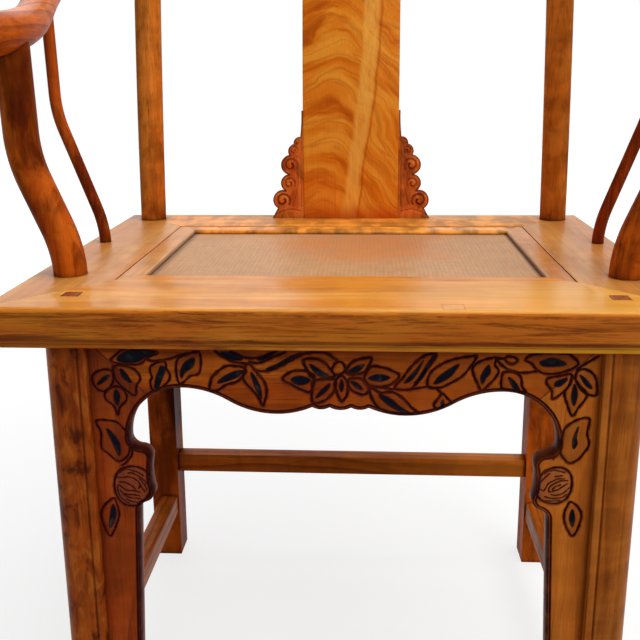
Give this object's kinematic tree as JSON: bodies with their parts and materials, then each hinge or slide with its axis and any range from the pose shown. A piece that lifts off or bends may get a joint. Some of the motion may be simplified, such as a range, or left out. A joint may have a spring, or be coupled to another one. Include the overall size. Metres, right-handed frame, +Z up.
{
  "type": "horseshoe-back armchair",
  "caption": "Wooden armchair with a curved horseshoe rail, burl back splat, woven mat seat and a cusped front apron with carved leaves and flowers.",
  "frame": {"origin": "on the floor under the middle of the chair's outer box", "axes": "+X to the right seen from the front, +Y to the back, +Z up"},
  "size_m": [0.701, 0.545, 0.965],
  "materials": {
    "seat_wood": "oiled elm, pale and worn",
    "panel_wood": "plain sawn boards",
    "strip_wood": "oiled elm",
    "frame_wood": "oiled elm, orange brown",
    "carved_wood": "oiled elm with dark stained carving",
    "burl_wood": "swirling burl, polished",
    "post_wood": "oiled elm, mottled",
    "peg_wood": "dark hardwood",
    "woven_cane": "finely woven cane, dull and aged"
  },
  "bodies": {
    "root": {"arm_post_left": "post_wood", "arm_post_right": "post_wood", "arm_rail_left": "post_wood", "arm_rail_right": "post_wood", "back_apron": "frame_wood", "back_leg_left": "frame_wood", "back_leg_right": "frame_wood", "back_splat": "burl_wood", "back_stretcher": "frame_wood", "crest_rail": "post_wood", "footrest": "frame_wood", "footrest_apron": "frame_wood", "front_apron_head": "carved_wood", "front_apron_side_left": "carved_wood", "front_apron_side_right": "carved_wood", "front_leg_left": "frame_wood", "front_leg_right": "frame_wood", "mat_strip_back": "strip_wood", "mat_strip_front": "strip_wood", "mat_strip_left": "strip_wood", "mat_strip_right": "strip_wood", "scarf_pegs": "peg_wood", "seat_bearer_left": "panel_wood", "seat_bearer_right": "panel_wood", "seat_board": "panel_wood", "seat_rail_back": "seat_wood", "seat_rail_front": "seat_wood", "seat_rail_left": "seat_wood", "seat_rail_right": "seat_wood", "side_apron_left": "frame_wood", "side_apron_right": "frame_wood", "side_post_left": "post_wood", "side_post_right": "post_wood", "side_stretcher_left": "frame_wood", "side_stretcher_right": "frame_wood", "splat_spandrel_left": "carved_wood", "splat_spandrel_right": "carved_wood", "woven_mat": "woven_cane"}
  },
  "joints": []
}
